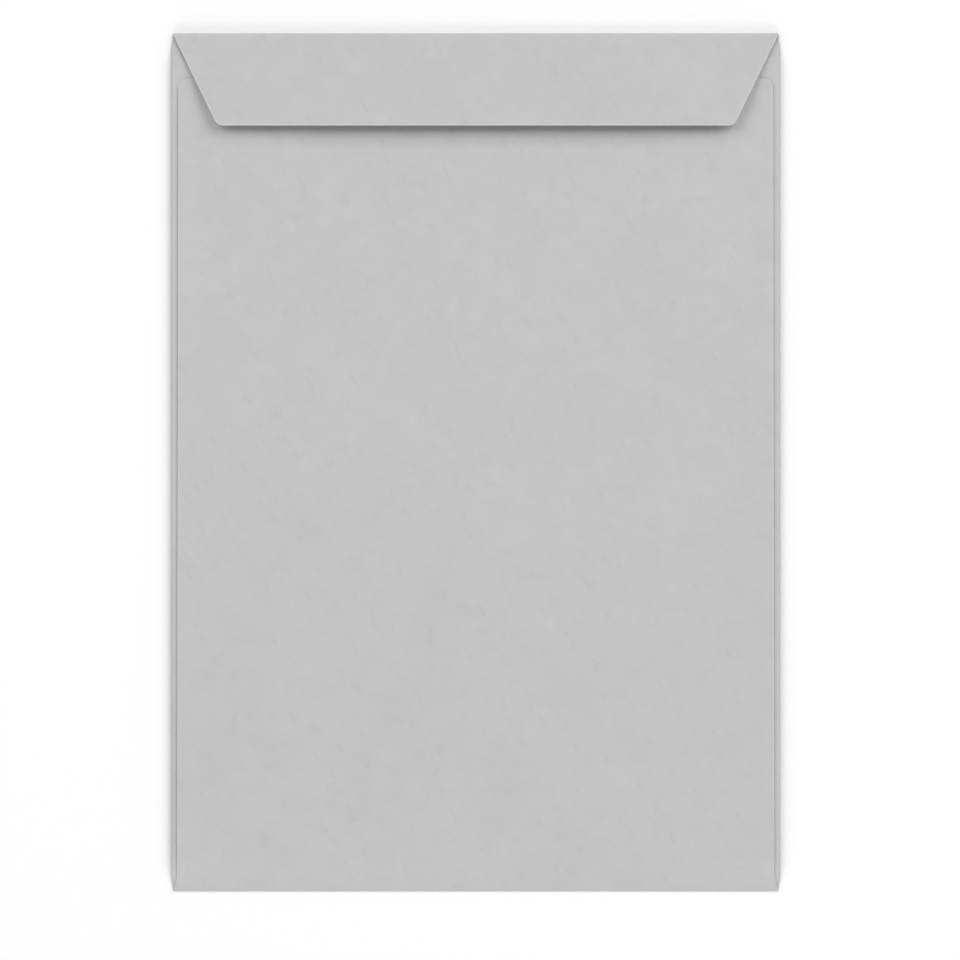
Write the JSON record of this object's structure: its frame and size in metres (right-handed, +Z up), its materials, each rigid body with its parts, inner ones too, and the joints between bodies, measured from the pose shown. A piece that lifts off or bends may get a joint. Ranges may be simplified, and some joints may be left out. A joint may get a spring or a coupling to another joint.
{
  "type": "paper envelope",
  "caption": "Plain pocket envelope folded from one sheet of paper, with glued side seams and an unsealed flap folded over on the short side",
  "frame": {"origin": "middle of the front panel on its flat underside, on the surface that the envelope lies on", "axes": "+X across the envelope, +Y towards the fold of the closing flap, +Z up through the glued back panel, so the flap is on top"},
  "size_m": [0.2302, 0.324, 0.0053],
  "materials": {
    "paper": "matte"
  },
  "bodies": {
    "root": {"envelope": "paper"}
  },
  "joints": []
}
